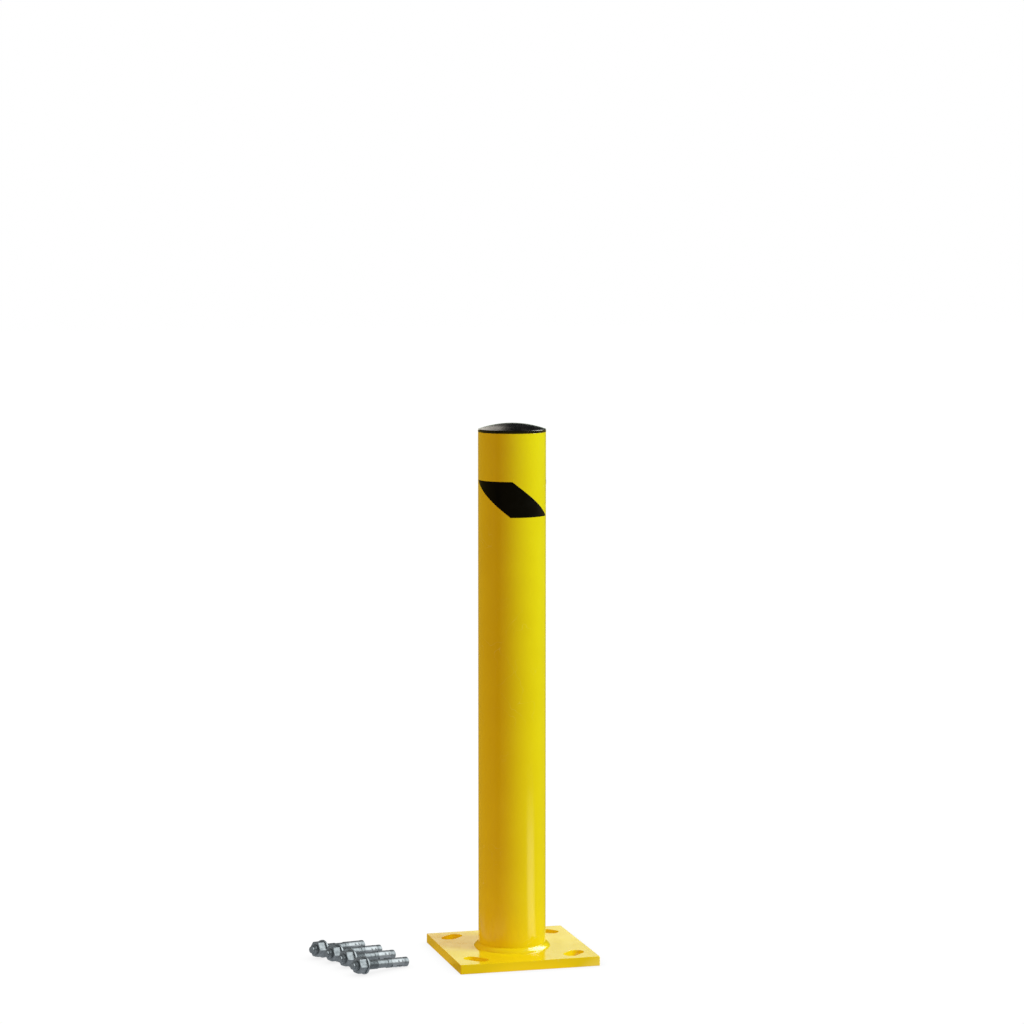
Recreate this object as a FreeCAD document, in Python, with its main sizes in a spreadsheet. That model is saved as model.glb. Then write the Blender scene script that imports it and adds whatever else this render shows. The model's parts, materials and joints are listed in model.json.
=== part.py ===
import FreeCAD, Part
import math
import os
import Sketcher

# Steel safety bollard: a tube welded on a slotted base plate, a domed plastic plug in its
# top, two black tape parallelograms round it, and the four loose wedge anchors that fix it.
# Frame: origin at the centre of the base plate's underside, +Z up along the tube, X and Y
# along the plate's sides. Millimetres and degrees.

DIMENSIONS = {
    # post tube, 4 inch schedule 40 pipe
    "pipe_od": 114.3,
    "pipe_wall": 6.02,
    "pipe_length": 876.3,
    "pipe_end_break": 0.5,
    # base plate, with one slot across each corner's diagonal
    "plate_side": 241.3,
    "plate_thickness": 15.875,
    "plate_corner_radius": 1.5,
    "plate_edge_radius": 0.6,
    "slot_width": 25.4,
    "slot_length": 44.45,
    "slot_offset": 84.7,
    # fillet weld round the foot of the tube: its legs on the tube and on the plate
    "weld_rise": 7.0,
    "weld_reach": 8.0,
    "weld_face_radius": 16.0,
    # plug in the top of the tube
    "cap_lip_od": 114.5,
    "cap_lip_height": 5.2,
    "cap_lip_radius": 1.2,
    "cap_dome_rise": 9.6,
    "cap_shell": 2.4,
    "cap_skirt_depth": 26.0,
    "cap_skirt_gap": 0.8,
    "cap_rib_count": 12,
    "cap_rib_width": 1.8,
    "cap_rib_gap": 0.06,
    "cap_rib_lead": 4.0,
    # tape parallelograms: each leans by tape_lean degrees of arc over its height
    "tape_height": 60.0,
    "tape_arc": 80.6,
    "tape_lean": 77.9,
    "tape_thickness": 0.25,
    "tape_drop": 80.2,
    "tape_front_angle": 174.9,
    "tape_rear_angle": 336.0,
    # wedge anchor, size 16 by 115; stations run from the cone's tip to the threaded end
    "anchor_length": 115.0,
    "cone_radius": 8.0,
    "cone_tip_break": 1.2,
    "cone_straight": 6.5,
    "cone_end": 18.0,
    "neck_radius": 5.7,
    "collar_start": 37.0,
    "collar_length": 7.0,
    "collar_radius": 7.95,
    "shank_radius": 7.15,
    "thread_start": 62.0,
    "thread_major": 8.0,
    "thread_minor": 6.8,
    "thread_pitch": 2.0,
    "thread_clearance": 0.06,
    "dog_length": 4.0,
    "dog_radius": 5.7,
    "dog_break": 0.8,
    # expansion clip, rolled round the neck, its leaves lying on the cone
    "clip_start": 10.5,
    "clip_length": 26.2,
    "clip_bore": 5.85,
    "clip_radius": 7.9,
    "clip_end_break": 0.3,
    "clip_leaf_count": 3,
    "clip_leaf_slot": 1.6,
    "clip_leaf_length": 15.0,
    "clip_notch_width": 9.0,
    "clip_notch_depth": 3.3,
    "clip_seam_width": 1.2,
    "bump_centre": 5.9,
    "bump_radius": 2.7,
    "bump_station": 21.8,
    "bump_spacing": 8.0,
    # washer and hexagon nut
    "washer_station": 88.0,
    "washer_od": 30.0,
    "washer_hole": 17.5,
    "washer_thickness": 3.0,
    "washer_edge_radius": 0.5,
    "nut_flats": 24.0,
    "nut_height": 14.8,
    "nut_turn": 2.0,
    "nut_chamfer_start": 0.97,
    "nut_chamfer_slope": 0.5,
    "nut_mouth": 0.4,
    # how far a cutting sketch reaches past the face it cuts, a thread cut past its crest,
    # and the nut's thread past the nut's ends, in turns
    "cut_over": 1.0,
    "thread_cut_over": 0.3,
    "nut_turns_over": 3.0,
    # the four anchors lie on the floor beside the plate: the point under each cone's tip,
    # the compass direction its cone points in, and how far it has rolled
    "anchor_1_x": -193.2,
    "anchor_1_y": -37.9,
    "anchor_1_heading": 24.5,
    "anchor_1_roll": 25.0,
    "anchor_2_x": -203.4,
    "anchor_2_y": 17.2,
    "anchor_2_heading": 24.5,
    "anchor_2_roll": 28.0,
    "anchor_3_x": -217.3,
    "anchor_3_y": 59.5,
    "anchor_3_heading": 24.5,
    "anchor_3_roll": 22.0,
    "anchor_4_x": -238.4,
    "anchor_4_y": 100.4,
    "anchor_4_heading": 28.0,
    "anchor_4_roll": 30.0,
}
ANCHORS = (1, 2, 3, 4)
# thread form, as expressions: the groove's flanks open by FLANK per unit of depth (30
# degrees), its floor is this half wide, and its first turn is centred at this station
FLANK = "0.577"
GROOVE_FLOOR = "(thread_pitch / 14)"
STUD_GROOVE = "(thread_start + thread_pitch)"
# a cut made from the XZ plane lies at this angle round Z, in degrees
SLOT_ANGLE = 90

doc = FreeCAD.newDocument("bollard")
sheet = doc.addObject("Spreadsheet::Sheet", "sizes")
for row, (alias, number) in enumerate(DIMENSIONS.items(), start=1):
    sheet.set(f"A{row}", alias)
    sheet.set(f"B{row}", str(number))
    sheet.setAlias(f"B{row}", alias)
doc.recompute()


def cells(expression):
    """The expression with each alias in it written as a reference to the sheet."""
    words = "".join(c if c.isalnum() or c == "_" else " " for c in expression).split()
    for word in sorted(set(words) & set(DIMENSIONS), key=len, reverse=True):
        expression = expression.replace(word, "sizes." + word)
        expression = expression.replace("sizes.sizes.", "sizes.")
    return expression


def value(expression):
    """What an expression in aliases comes to, as a number."""
    found = sheet.evalExpression(cells(expression))
    return float(getattr(found, "Value", found))


def new_body(label):
    body = doc.addObject("PartDesign::Body", label)
    body.Label = label
    return body


def origin_part(body, role):
    """One of the body's own origin planes or axes."""
    return next(f for f in body.Origin.OriginFeatures if f.Role == role)


def new_sketch(body, name, plane):
    sketch = body.newObject("Sketcher::SketchObject", name)
    sketch.AttachmentSupport = [(origin_part(body, plane), "")]
    sketch.MapMode = "FlatFace"
    return sketch


def bind(feature, **settings):
    """Binds properties to expressions in the sheet's aliases."""
    for name, expression in settings.items():
        feature.setExpression(name, cells(expression))


def dimension(sketch, kind, expression, *target):
    """Adds a constraint of that kind, whose size is bound to the sheet."""
    index = sketch.addConstraint(Sketcher.Constraint(kind, *target, value(expression)))
    sketch.setExpression(f"Constraints[{index}]", cells(expression))


def pin_point(sketch, geometry, end, across, up):
    """Fixes a point of the sketch at a place given by two expressions."""
    for kind, expression, axis in (("DistanceX", across, -2), ("DistanceY", up, -1)):
        if value(expression) == 0:
            sketch.addConstraint(Sketcher.Constraint("PointOnObject", geometry, end, axis))
        else:
            dimension(sketch, kind, expression, -1, 1, geometry, end)


def arc_between(start, end, radius, side):
    """The arc from start to end whose centre is on the left (side 1) or right (side -1)."""
    chord = end - start
    middle = (start + end) * 0.5
    across = FreeCAD.Vector(-chord.y, chord.x, 0).normalize()
    centre = middle + across * side * math.sqrt(radius**2 - (chord.Length / 2) ** 2)
    crown = centre + (middle - centre).normalize() * radius
    return Part.Arc(start, crown, end)


def outline(sketch, corners, arcs=None):
    """Closes an outline through corners, each a pair of expressions. arcs gives the
    radius and side of the arc that takes the place of the line from that corner."""
    arcs = arcs or {}
    places = [FreeCAD.Vector(value(x), value(y), 0) for x, y in corners]
    count = len(corners)
    for i, start in enumerate(places):
        end = places[(i + 1) % count]
        if i in arcs:
            radius, side = arcs[i]
            curve = arc_between(start, end, value(radius), side)
        else:
            curve = Part.LineSegment(start, end)
        sketch.addGeometry(curve)
    # FreeCAD keeps every arc counter-clockwise, so an arc turning the other way is reversed
    ends = [(2, 1) if i in arcs and arcs[i][1] < 0 else (1, 2) for i in range(count)]
    for i in range(count):
        following = (i + 1) % count
        join = ("Coincident", i, ends[i][1], following, ends[following][0])
        sketch.addConstraint(Sketcher.Constraint(*join))
        pin_point(sketch, i, ends[i][0], *corners[i])
        if i in arcs:
            dimension(sketch, "Radius", arcs[i][0], i)


def circle(sketch, diameter):
    """A circle about the sketch's origin."""
    radius = value(diameter) / 2
    centre = FreeCAD.Vector(0, 0, 0)
    up = FreeCAD.Vector(0, 0, 1)
    index = sketch.addGeometry(Part.Circle(centre, up, radius))
    sketch.addConstraint(Sketcher.Constraint("Coincident", index, 3, -1, 1))
    dimension(sketch, "Diameter", diameter, index)


def pad(body, name, sketch, length, downwards=False):
    feature = body.newObject("PartDesign::Pad", name)
    feature.Profile = sketch
    feature.Reversed = downwards
    bind(feature, Length=length)
    return feature


def pocket(body, name, sketch, length=None, reverse=False):
    """Cuts the sketch out of the body and stops if nothing was cut."""
    doc.recompute()
    before = body.Shape.Volume
    feature = body.newObject("PartDesign::Pocket", name)
    feature.Profile = sketch
    feature.Reversed = reverse
    if length is None:
        feature.Type = "ThroughAll"
    else:
        bind(feature, Length=length)
    doc.recompute()
    if not body.Shape.Volume < before:
        raise SystemExit(f"{name} cuts nothing")
    return feature


def revolve(body, name, sketch):
    feature = body.newObject("PartDesign::Revolution", name)
    feature.Profile = sketch
    feature.ReferenceAxis = (sketch, ["V_Axis"])
    feature.Angle = 360
    return feature


def turn_off(body, name, sketch):
    """Cuts the sketch's revolution about the Z axis from the body, or stops."""
    doc.recompute()
    before = body.Shape.Volume
    feature = body.newObject("PartDesign::Groove", name)
    feature.Profile = sketch
    feature.ReferenceAxis = (sketch, ["V_Axis"])
    feature.Angle = 360
    doc.recompute()
    if not body.Shape.Volume < before:
        raise SystemExit(f"{name} cuts nothing")


def polar(body, name, feature, count):
    """Repeats a feature round the body's Z axis."""
    doc.recompute()
    pattern = body.newObject("PartDesign::PolarPattern", name)
    pattern.Originals = [feature]
    pattern.Axis = (origin_part(body, "Z_Axis"), [""])
    pattern.Angle = 360
    pattern.Occurrences = count
    body.Tip = pattern
    doc.recompute()


def round_edges(body, name, radius, chosen):
    """Rounds the edges of the body's tip for which chosen(edge) is true."""
    doc.recompute()
    base = body.Tip
    edges = [f"Edge{i}" for i, e in enumerate(base.Shape.Edges, start=1) if chosen(e)]
    feature = body.newObject("PartDesign::Fillet", name)
    feature.Base = (base, edges)
    bind(feature, Radius=radius)
    doc.recompute()


def middle_of(edge):
    return edge.valueAt((edge.FirstParameter + edge.LastParameter) / 2)


def near(a, b):
    return abs(a - b) < 1e-4


def raised(height):
    return FreeCAD.Placement(FreeCAD.Vector(0, 0, height), FreeCAD.Rotation())


def make_post_tube():
    body = new_body("post_tube")
    wall = new_sketch(body, "tube_wall", "XZ_Plane")
    outer, inner = "pipe_od / 2", "pipe_od / 2 - pipe_wall"
    outline(
        wall,
        [
            (inner, "0"),
            (outer, "0"),
            (outer, "pipe_length - pipe_end_break"),
            (outer + " - pipe_end_break", "pipe_length"),
            (inner, "pipe_length"),
        ],
    )
    revolve(body, "tube_of_steel", wall)
    body.Placement = raised(value("plate_thickness"))


def make_base_plate():
    body = new_body("base_plate")
    square = new_sketch(body, "plate_outline", "XY_Plane")
    half = "plate_side / 2"
    corners = [("-", "-"), ("", "-"), ("", ""), ("-", "")]
    outline(square, [(x + half, y + half) for x, y in corners])
    pad(body, "plate", square, "plate_thickness")

    def upright(edge):
        return len(edge.Vertexes) == 2 and near(edge.tangentAt(edge.FirstParameter).z**2, 1)

    round_edges(body, "plate_corners", "plate_corner_radius", upright)
    slot = new_sketch(body, "slot_outline", "XY_Plane")
    # the slot runs square to the plate's diagonal, with half-round ends
    reach = "(slot_length - slot_width) / 2 * 0.5 ^ 0.5"
    side = "slot_width / 2 * 0.5 ^ 0.5"
    ends = [
        (f"slot_offset + {reach} + {side}", f"slot_offset - {reach} + {side}"),
        (f"slot_offset - {reach} + {side}", f"slot_offset + {reach} + {side}"),
        (f"slot_offset - {reach} - {side}", f"slot_offset + {reach} - {side}"),
        (f"slot_offset + {reach} - {side}", f"slot_offset - {reach} - {side}"),
    ]
    slot_outline(slot, ends, (f"slot_offset - {reach}", f"slot_offset + {reach}"))
    cut = pocket(body, "slot", slot, reverse=True)
    polar(body, "four_slots", cut, 4)
    half_side = value(half)

    def rim(edge):
        spot = middle_of(edge)
        outside = max(abs(spot.x), abs(spot.y)) > half_side - value("plate_corner_radius")
        return outside and (near(spot.z, 0) or near(spot.z, value("plate_thickness")))

    round_edges(body, "plate_rim", "plate_edge_radius", rim)


def slot_outline(sketch, ends, centres):
    """A slot through its four corners: two straight sides and two half-round ends, with
    the X of the ends' centres."""
    first, second, third, fourth = [
        FreeCAD.Vector(value(x), value(y), 0) for x, y in ends
    ]
    sketch.addGeometry(Part.LineSegment(first, second))
    sketch.addGeometry(half_round(second, third))
    sketch.addGeometry(Part.LineSegment(third, fourth))
    sketch.addGeometry(half_round(fourth, first))
    for i in range(4):
        join = Sketcher.Constraint("Coincident", i, 2, (i + 1) % 4, 1)
        sketch.addConstraint(join)
        pin_point(sketch, i, 1, *ends[i])
    for i, centre in zip((1, 3), centres):
        dimension(sketch, "DistanceX", centre, -1, 1, i, 3)


def half_round(start, end):
    """Half a circle, counter-clockwise from start to end."""
    centre = (start + end) * 0.5
    arm = start - centre
    return Part.Arc(start, centre + FreeCAD.Vector(-arm.y, arm.x, 0), end)


def make_base_weld():
    body = new_body("base_weld")
    bead = new_sketch(body, "bead_section", "XZ_Plane")
    root = "pipe_od / 2"
    corners = [(root, "0"), (root + " + weld_reach", "0"), (root, "weld_rise")]
    outline(bead, corners, {1: ("weld_face_radius", 1)})
    revolve(body, "bead", bead)
    body.Placement = raised(value("plate_thickness"))


def make_top_cap():
    body = new_body("top_cap")
    shell = new_sketch(body, "cap_section", "XZ_Plane")
    lip = "cap_lip_od / 2"
    foot = lip + " - cap_lip_radius"
    skirt = "pipe_od / 2 - pipe_wall - cap_skirt_gap"
    inside = skirt + " - cap_shell"
    crown = "cap_lip_height + cap_dome_rise"
    dome_radius = f"(({foot}) ^ 2 + cap_dome_rise ^ 2) / (2 * cap_dome_rise)"
    under = f"({dome_radius} - cap_shell)"
    # the underside is the same dome, one shell thickness further in
    spring = f"{crown} - cap_shell - {under} + ({under} ^ 2 - ({inside}) ^ 2) ^ 0.5"
    outline(
        shell,
        [
            ("0", crown + " - cap_shell"),
            (inside, spring),
            (inside, "-cap_skirt_depth"),
            (skirt, "-cap_skirt_depth"),
            (skirt, "0"),
            (lip, "0"),
            (lip, "cap_lip_height - cap_lip_radius"),
            (foot, "cap_lip_height"),
            ("0", crown),
        ],
        {0: (under, -1), 6: ("cap_lip_radius", 1), 7: (dome_radius, 1)},
    )
    revolve(body, "shell", shell)
    rib = new_sketch(body, "rib_section", "XY_Plane")
    start = skirt + " - cap_shell / 2"
    reach = "pipe_od / 2 - pipe_wall - cap_rib_gap"
    half = "cap_rib_width / 2"
    corners = [(start, "-" + half), (reach, "-" + half), (reach, half), (start, half)]
    outline(rib, corners)
    first = pad(body, "rib", rib, "cap_skirt_depth - cap_rib_lead", downwards=True)
    polar(body, "ribs", first, int(value("cap_rib_count")))
    body.Placement = raised(value("plate_thickness + pipe_length"))


def make_tape(label, angle):
    """One parallelogram of tape on the tube. Its lower edge starts at the given angle from
    +X plus the lean, its upper edge at the angle itself."""
    body = new_body(label)
    section = new_sketch(body, label + "_section", "XY_Plane")
    inner = value("pipe_od / 2")
    outer = value("pipe_od / 2 + tape_thickness")
    sweep = value("tape_arc")
    centre = FreeCAD.Vector(0, 0, 0)
    up = FreeCAD.Vector(0, 0, 1)
    for radius in (inner, outer):
        ring = Part.Circle(centre, up, radius)
        sketch_arc = Part.ArcOfCircle(ring, 0, math.radians(sweep))
        section.addGeometry(sketch_arc)
    for turn in (0, math.radians(sweep)):
        ray = FreeCAD.Vector(math.cos(turn), math.sin(turn), 0)
        section.addGeometry(Part.LineSegment(ray * inner, ray * outer))
    for arc in (0, 1):
        section.addConstraint(Sketcher.Constraint("Coincident", arc, 3, -1, 1))
    for line, end in ((2, 1), (3, 2)):
        section.addConstraint(Sketcher.Constraint("Coincident", line, 1, 0, end))
        section.addConstraint(Sketcher.Constraint("Coincident", line, 2, 1, end))
    section.addConstraint(Sketcher.Constraint("PointOnObject", 0, 1, -1))
    section.addConstraint(Sketcher.Constraint("PointOnObject", 1, 1, -1))
    dimension(section, "Radius", "pipe_od / 2", 0)
    dimension(section, "Radius", "pipe_od / 2 + tape_thickness", 1)
    angle_index = section.addConstraint(
        Sketcher.Constraint("Angle", -1, 1, 3, 1, math.radians(sweep))
    )
    section.setExpression(f"Constraints[{angle_index}]", cells("tape_arc * 1 deg"))
    band = body.newObject("PartDesign::AdditiveHelix", label + "_band")
    band.Profile = section
    band.ReferenceAxis = (origin_part(body, "Z_Axis"), [""])
    band.Mode = "pitch-height-angle"
    band.LeftHanded = True
    bind(band, Height="tape_height", Pitch="tape_height * 360 / tape_lean")
    turn = value(f"{angle} + tape_lean")
    height = value("plate_thickness + pipe_length - tape_drop - tape_height")
    up_to = FreeCAD.Vector(0, 0, height)
    body.Placement = FreeCAD.Placement(up_to, FreeCAD.Rotation(up, turn))


def anchor_placement(number):
    """Lays an anchor on the floor, on the edge of its washer and the rim of its cone."""
    reach = value("washer_station - cone_tip_break")
    tilt = math.atan(value("washer_od / 2 - cone_radius") / reach)
    radius, tip = value("cone_radius"), value("cone_tip_break")
    height = radius * math.cos(tilt) - tip * math.sin(tilt)
    x, y = value(f"anchor_{number}_x"), value(f"anchor_{number}_y")
    z_axis, y_axis = FreeCAD.Vector(0, 0, 1), FreeCAD.Vector(0, 1, 0)
    heading = FreeCAD.Rotation(z_axis, value(f"anchor_{number}_heading"))
    lay_down = FreeCAD.Rotation(y_axis, math.degrees(tilt) - 90)
    roll = FreeCAD.Rotation(z_axis, value(f"anchor_{number}_roll"))
    return FreeCAD.Placement(FreeCAD.Vector(x, y, height), heading * lay_down * roll)


def cut_thread(body, name, section, height):
    """Cuts a right-hand thread along a helix that starts at the section."""
    doc.recompute()
    before = body.Shape.Volume
    thread = body.newObject("PartDesign::SubtractiveHelix", name)
    thread.Profile = section
    thread.ReferenceAxis = (section, ["V_Axis"])
    thread.Mode = "pitch-height-angle"
    bind(thread, Pitch="thread_pitch", Height=height)
    doc.recompute()
    if not body.Shape.Volume < before:
        raise SystemExit(f"{name} cuts nothing")


def make_anchor_stud(number):
    body = new_body(f"anchor_{number}_stud")
    profile = new_sketch(body, "stud_profile", "XZ_Plane")
    collar_end = "collar_start + collar_length"
    thread_end = "anchor_length - dog_length"
    lead = "thread_major - thread_minor"
    outline(
        profile,
        [
            ("0", "0"),
            ("cone_radius - cone_tip_break", "0"),
            ("cone_radius", "cone_tip_break"),
            ("cone_radius", "cone_straight"),
            ("neck_radius", "cone_end"),
            ("neck_radius", "collar_start"),
            ("collar_radius", "collar_start"),
            ("collar_radius", collar_end + " - (collar_radius - shank_radius)"),
            ("shank_radius", collar_end),
            ("shank_radius", "thread_start"),
            ("thread_major", "thread_start + thread_major - shank_radius"),
            ("thread_major", f"{thread_end} - ({lead})"),
            ("thread_minor", thread_end),
            ("dog_radius", thread_end),
            ("dog_radius", "anchor_length - dog_break"),
            ("dog_radius - dog_break", "anchor_length"),
            ("0", "anchor_length"),
        ],
    )
    revolve(body, "forged_stud", profile)
    # thread groove, wider towards its mouth at 30 degrees a side
    groove = new_sketch(body, "groove_section", "XZ_Plane")
    root, mouth = "thread_minor", "(thread_major + thread_cut_over)"
    wide = f"({GROOVE_FLOOR} + ({mouth} - {root}) * {FLANK})"
    outline(
        groove,
        [
            (root, f"{STUD_GROOVE} - {GROOVE_FLOOR}"),
            (mouth, f"{STUD_GROOVE} - {wide}"),
            (mouth, f"{STUD_GROOVE} + {wide}"),
            (root, f"{STUD_GROOVE} + {GROOVE_FLOOR}"),
        ],
    )
    cut_thread(body, "rolled_thread", groove, "anchor_length - thread_start - thread_pitch")
    body.Placement = anchor_placement(number)


def make_anchor_clip(number):
    body = new_body(f"anchor_{number}_clip")
    profile = new_sketch(body, "clip_profile", "XZ_Plane")
    clip_end = "clip_start + clip_length"
    outline(
        profile,
        [
            ("0", "clip_start"),
            ("clip_radius - clip_end_break", "clip_start"),
            ("clip_radius", "clip_start + clip_end_break"),
            ("clip_radius", f"{clip_end} - clip_end_break"),
            ("clip_radius - clip_end_break", clip_end),
            ("0", clip_end),
        ],
    )
    revolve(body, "rolled_sleeve", profile)
    # two bumps stand on each leaf, half way between its slots
    leaves = int(value("clip_leaf_count"))
    turn = math.radians(SLOT_ANGLE + 180 / leaves)
    out = value("bump_centre")
    for name, station in (("bump", "bump_station"), ("front_bump", "bump_station - bump_spacing")):
        doc.recompute()
        bump = body.newObject("PartDesign::AdditiveSphere", name)
        bind(bump, Radius="bump_radius")
        bump.AttachmentSupport = [(origin_part(body, "XY_Plane"), "")]
        bump.MapMode = "FlatFace"
        spot = FreeCAD.Vector(out * math.cos(turn), out * math.sin(turn), value(station))
        bump.AttachmentOffset = FreeCAD.Placement(spot, FreeCAD.Rotation())
        polar(body, name + "s", bump, leaves)
    # the bore opens out over the cone, by the same taper
    bore = new_sketch(body, "bore_section", "XZ_Plane")
    taper = "(cone_radius - neck_radius) / (cone_end - cone_straight)"
    front = "(clip_start - cut_over)"
    outline(
        bore,
        [
            ("0", front),
            (f"clip_bore + (cone_end - {front}) * {taper}", front),
            ("clip_bore", "cone_end"),
            ("clip_bore", clip_end + " + cut_over"),
            ("0", clip_end + " + cut_over"),
        ],
    )
    turn_off(body, "clip_hole", bore)
    # a slot parts each leaf from the next, with a V notch behind it
    half = "clip_leaf_slot / 2"
    slot_end = "clip_start + clip_leaf_length"
    leaf = new_sketch(body, "leaf_slot_outline", "XZ_Plane")
    outline(leaf, [("-" + half, front), (half, front), (half, slot_end), ("-" + half, slot_end)])
    cut = pocket(body, "leaf_slot", leaf, "clip_radius * 2")
    polar(body, "leaf_slots", cut, leaves)
    notch = new_sketch(body, "notch_outline", "XZ_Plane")
    side = "clip_notch_width / 2"
    back = clip_end + " + cut_over"
    flare = side + " * (1 + cut_over / clip_notch_depth)"
    outline(notch, [("0", f"{clip_end} - clip_notch_depth"), (flare, back), ("-" + flare, back)])
    cut = pocket(body, "notch", notch, "clip_radius * 2")
    polar(body, "notches", cut, leaves)
    # the seam where the strip's two ends meet
    seam = new_sketch(body, "seam_outline", "XZ_Plane")
    half = "clip_seam_width / 2"
    low = f"{slot_end} - cut_over"
    outline(seam, [("-" + half, low), (half, low), (half, back), ("-" + half, back)])
    pocket(body, "seam", seam, "clip_radius * 2")
    body.Placement = anchor_placement(number)


def make_anchor_washer(number):
    body = new_body(f"anchor_{number}_washer")
    profile = new_sketch(body, "washer_profile", "XZ_Plane")
    top = "washer_station + washer_thickness"
    outer, inner = "washer_od / 2", "washer_hole / 2"
    soft = "washer_edge_radius"
    # the punched edge is rounded on the side that faces the nut
    outline(
        profile,
        [
            (inner, "washer_station"),
            (outer, "washer_station"),
            (outer, f"{top} - {soft}"),
            (f"{outer} - {soft}", top),
            (inner, top),
        ],
        {2: (soft, 1)},
    )
    revolve(body, "punched_ring", profile)
    body.Placement = anchor_placement(number)


def make_anchor_nut(number):
    body = new_body(f"anchor_{number}_nut")
    base = "(washer_station + washer_thickness)"
    top = f"({base} + nut_height)"
    flat, corner = "nut_flats / 2", "nut_flats / 3 ^ 0.5"
    hexagon = new_sketch(body, "hexagon", "XY_Plane")
    turn = FreeCAD.Rotation(FreeCAD.Vector(0, 0, 1), value("nut_turn"))
    hexagon.AttachmentOffset = FreeCAD.Placement(FreeCAD.Vector(), turn)
    bind(hexagon, **{"AttachmentOffset.Base.z": base})
    half = f"{corner} / 2"
    corners = [
        (corner, "0"),
        (half, flat),
        ("-" + half, flat),
        ("-" + corner, "0"),
        ("-" + half, "-" + flat),
        (half, "-" + flat),
    ]
    outline(hexagon, corners)
    pad(body, "forged_blank", hexagon, "nut_height")
    # the corners are turned off at both ends
    narrow = f"{flat} * nut_chamfer_start"
    wide = f"{corner} + cut_over"
    rise = f"({wide} - {narrow}) * nut_chamfer_slope"
    for name, end, inward in (("bottom", base, "+"), ("top", top, "-")):
        bevel = new_sketch(body, name + "_bevel", "XZ_Plane")
        outline(bevel, [(narrow, end), (wide, end), (wide, f"{end} {inward} {rise}")])
        turn_off(body, name + "_chamfer", bevel)
    bore = new_sketch(body, "bore_section", "XZ_Plane")
    hole, mouth = "(thread_minor + thread_clearance)", "(thread_major + nut_mouth)"
    outline(
        bore,
        [
            ("0", f"{base} - cut_over"),
            (mouth, f"{base} - cut_over"),
            (mouth, base),
            (hole, f"{base} + {mouth} - {hole}"),
            (hole, f"{top} - ({mouth} - {hole})"),
            (mouth, top),
            (mouth, f"{top} + cut_over"),
            ("0", f"{top} + cut_over"),
        ],
    )
    turn_off(body, "countersunk_bore", bore)
    # the nut's thread follows the stud's crests, half a pitch from the stud's groove, and
    # starts a turn or two before the nut
    groove = new_sketch(body, "nut_groove_section", "XZ_Plane")
    deep, mouth = "(thread_major + thread_clearance)", "(thread_minor - thread_cut_over)"
    crest = f"(thread_pitch / 2 - {GROOVE_FLOOR} - (thread_major - thread_minor) * {FLANK})"
    at_root = f"({crest} + thread_clearance)"
    at_mouth = f"({at_root} + ({deep} - {mouth}) * {FLANK})"
    turns = f"(floor(({base} - {STUD_GROOVE}) / thread_pitch) - 1 / 2)"
    start = f"({STUD_GROOVE} + {turns} * thread_pitch)"
    outline(
        groove,
        [
            (mouth, f"{start} - {at_mouth}"),
            (deep, f"{start} - {at_root}"),
            (deep, f"{start} + {at_root}"),
            (mouth, f"{start} + {at_mouth}"),
        ],
    )
    cut_thread(body, "tapped_thread", groove, "nut_height + nut_turns_over * thread_pitch")
    body.Placement = anchor_placement(number)


make_post_tube()
make_base_plate()
make_base_weld()
make_top_cap()
make_tape("stripe_front", "tape_front_angle")
make_tape("stripe_rear", "tape_rear_angle")
for anchor in ANCHORS:
    make_anchor_stud(anchor)
    make_anchor_clip(anchor)
    make_anchor_washer(anchor)
    make_anchor_nut(anchor)
doc.recompute()

failed = [o.Name for o in doc.Objects if {"Invalid", "Error"} & set(o.State)]
if failed:
    raise SystemExit("failed objects: " + ", ".join(failed))
bodies = [o for o in doc.Objects if o.TypeId == "PartDesign::Body"]
for body in bodies:
    if body.Shape.isNull() or not body.Shape.isValid() or not body.Shape.Solids:
        raise SystemExit(body.Label + " has no valid shape")

os.makedirs("parts", exist_ok=True)
for body in bodies:
    body.Shape.exportStep(f"parts/{body.Label}.step")
    print(body.Label, "solids", len(body.Shape.Solids), "volume", round(body.Shape.Volume))
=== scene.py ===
import json
import math

import bmesh
import bpy
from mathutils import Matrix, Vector


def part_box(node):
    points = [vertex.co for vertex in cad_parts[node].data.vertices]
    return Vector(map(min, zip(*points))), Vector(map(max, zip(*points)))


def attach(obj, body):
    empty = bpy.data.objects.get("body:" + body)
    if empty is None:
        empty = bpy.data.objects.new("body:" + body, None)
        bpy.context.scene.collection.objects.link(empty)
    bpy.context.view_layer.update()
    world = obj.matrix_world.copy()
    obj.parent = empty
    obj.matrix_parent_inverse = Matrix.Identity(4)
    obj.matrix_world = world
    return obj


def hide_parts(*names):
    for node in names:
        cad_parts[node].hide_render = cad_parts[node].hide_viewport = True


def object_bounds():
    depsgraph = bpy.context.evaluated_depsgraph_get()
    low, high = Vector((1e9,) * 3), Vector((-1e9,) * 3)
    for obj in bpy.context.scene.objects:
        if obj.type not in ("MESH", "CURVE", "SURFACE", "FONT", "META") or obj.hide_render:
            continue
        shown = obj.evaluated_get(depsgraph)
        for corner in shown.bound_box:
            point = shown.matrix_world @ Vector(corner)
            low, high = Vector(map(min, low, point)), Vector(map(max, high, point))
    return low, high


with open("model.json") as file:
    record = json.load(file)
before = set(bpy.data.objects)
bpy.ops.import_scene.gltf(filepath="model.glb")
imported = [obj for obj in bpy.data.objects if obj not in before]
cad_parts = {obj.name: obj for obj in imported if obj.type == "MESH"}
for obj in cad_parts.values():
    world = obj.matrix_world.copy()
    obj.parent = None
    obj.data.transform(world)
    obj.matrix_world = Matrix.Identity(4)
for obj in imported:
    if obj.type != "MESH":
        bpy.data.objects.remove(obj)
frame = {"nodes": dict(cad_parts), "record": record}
CAD_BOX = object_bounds()

MM = 0.001
TURN = 2 * math.pi
MOUNTS = {mount["name"]: mount for mount in frame["record"]["mounts"]}


# ---------------------------------------------------------------- sizes from the frame


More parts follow.
